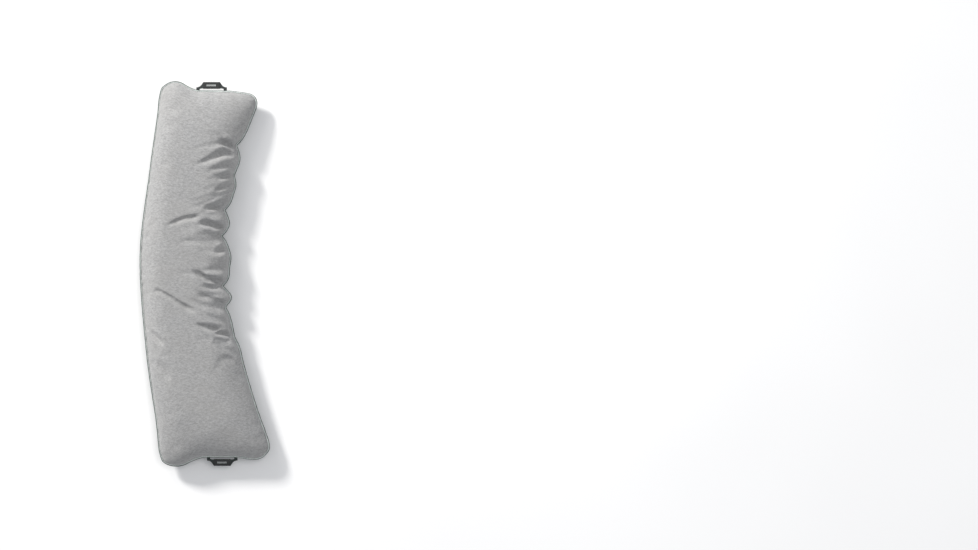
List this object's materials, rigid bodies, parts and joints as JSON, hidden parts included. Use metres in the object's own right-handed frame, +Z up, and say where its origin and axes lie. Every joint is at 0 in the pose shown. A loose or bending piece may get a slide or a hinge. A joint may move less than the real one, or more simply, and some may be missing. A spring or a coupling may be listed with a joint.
{
  "type": "camp pillow",
  "caption": "Long bowed camp pillow: piped two-panel cloth cover with a zip, fibre-filled insert, and an elastic strap with a woven label across a notch at each short end.",
  "frame": {"origin": "on the surface that the pillow lies on, below the middle of its bounding box", "axes": "+Z up, +Y along the pillow to the sleeper's left, +X across it towards the sleeper's feet, which is its hollow side"},
  "size_m": [0.3924, 1.159, 0.0981],
  "materials": {
    "upper_cloth": "matte",
    "base_cloth": "matte",
    "piping_cloth": "matte",
    "welt_cloth": "matte",
    "insert_ticking": "matte",
    "polyester_fibre": "matte",
    "zip_tape": "matte",
    "zip_nylon": "satin",
    "zip_metal": "satin",
    "elastic_webbing": "matte",
    "woven_label": "satin",
    "thread": "matte"
  },
  "bodies": {
    "pillow": {"cover_top_panel": "upper_cloth", "cover_base_panel": "base_cloth", "seam_piping": "piping_cloth", "top_seam_welt": "welt_cloth", "insert_casing_top": "insert_ticking", "insert_casing_base": "insert_ticking", "fibre_fill": "polyester_fibre", "zip_tape_outer": "zip_tape", "zip_tape_inner": "zip_tape", "zip_coil_outer": "zip_nylon", "zip_coil_inner": "zip_nylon", "zip_top_stop_outer": "zip_metal", "zip_top_stop_inner": "zip_metal", "zip_bottom_stop": "zip_metal", "left_strap_tack_outer": "thread", "left_strap_tack_inner": "thread", "right_strap_tack_outer": "thread", "right_strap_tack_inner": "thread"},
    "slider": {"zip_slider": "zip_metal"},
    "pull": {"zip_pull_tab": "zip_metal"},
    "left_strap": {"left_end_strap": "elastic_webbing", "left_strap_label": "woven_label"},
    "right_strap": {"right_end_strap": "elastic_webbing", "right_strap_label": "woven_label"}
  },
  "joints": [
    {"name": "zip_slide", "type": "slide", "parent": "pillow", "child": "slider", "axis": [0, 1, 0], "range_m": [-0.426, 0]},
    {"name": "zip_pull_swing", "type": "hinge", "parent": "slider", "child": "pull", "pos_m": [-0.15637, 0.21369, 0.01787], "axis": [0.6347, 0, -0.7727], "range_deg": [-90, 75]},
    {"name": "left_strap_bend", "type": "hinge", "parent": "pillow", "child": "left_strap", "pos_m": [0.01966, 0.55409, 0.033], "axis": [1, 0, 0], "range_deg": [-80, 60], "stiffness_Nm_per_rad": 0.015},
    {"name": "right_strap_bend", "type": "hinge", "parent": "pillow", "child": "right_strap", "pos_m": [0.05166, -0.55371, 0.033], "axis": [-1, 0, 0], "range_deg": [-80, 60], "stiffness_Nm_per_rad": 0.015}
  ]
}
